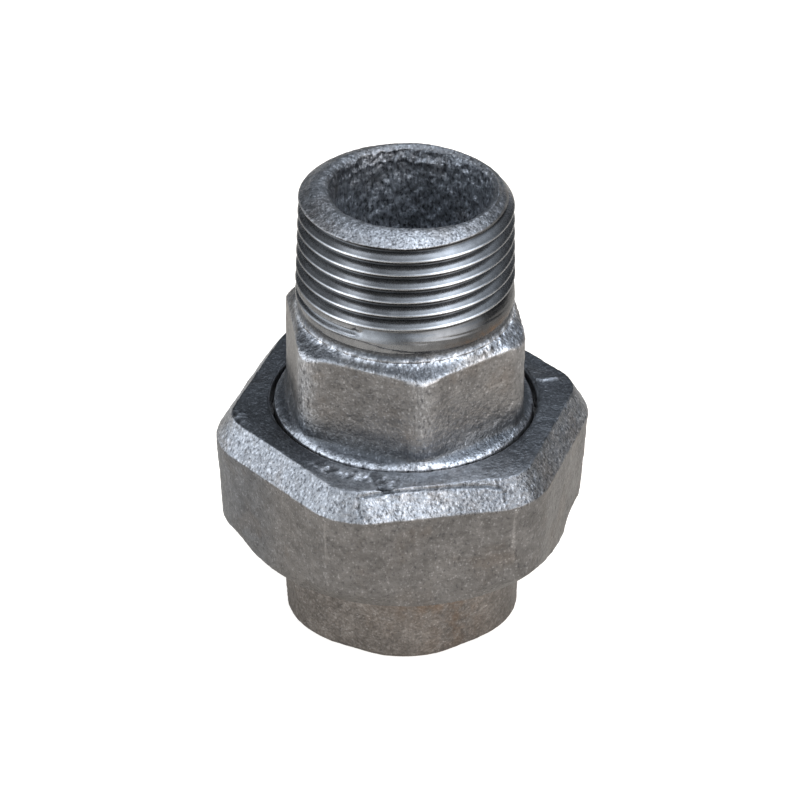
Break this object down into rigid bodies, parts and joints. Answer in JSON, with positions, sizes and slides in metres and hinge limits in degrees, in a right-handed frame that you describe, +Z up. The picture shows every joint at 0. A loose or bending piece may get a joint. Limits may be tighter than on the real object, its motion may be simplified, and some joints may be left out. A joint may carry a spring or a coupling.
{
  "type": "threaded pipe union",
  "caption": "Cast iron pipe union, male taper thread by female pipe thread, with a hexagon nut that draws the two ends together on a flat gasket.",
  "frame": {"origin": "on the pipe axis in the female end's lower end face, where the fitting stands", "axes": "+Z up along the pipe axis from the female end to the male end; one side of the tail's hexagon faces between +X and -Y"},
  "size_m": [0.0578, 0.0566, 0.074],
  "materials": {
    "iron_female_end": "rough grey-brown sand-cast skin, machined thread inside",
    "gasket_rubber": "matt black flat ring",
    "iron_tail": "rough sand-cast skin with a sparkle, machined blue-grey pipe thread",
    "iron_nut": "rough sand-cast skin, bright grainy bevels, dark top face"
  },
  "bodies": {
    "female_body": {"female_end": "iron_female_end"},
    "seal": {"gasket": "gasket_rubber"},
    "tail": {"male_tail": "iron_tail"},
    "nut": {"union_nut": "iron_nut"}
  },
  "joints": [
    {"name": "opening_lift", "type": "slide", "parent": "female_body", "child": "seal", "axis": [0, 0, 1], "range_m": [0, 0.01385]},
    {"name": "nut_spin", "type": "hinge", "parent": "seal", "child": "nut", "pos_m": [0, 0, 0.0257], "axis": [0, 0, 1], "range_deg": [0, 2160]},
    {"name": "tail_swivel", "type": "hinge", "parent": "seal", "child": "tail", "pos_m": [0, 0, 0.05], "axis": [0, 0, 1], "continuous": true}
  ],
  "couplings": [
    {"joint": "nut_spin", "follows": "opening_lift", "rad_per_m": 2721.1}
  ]
}
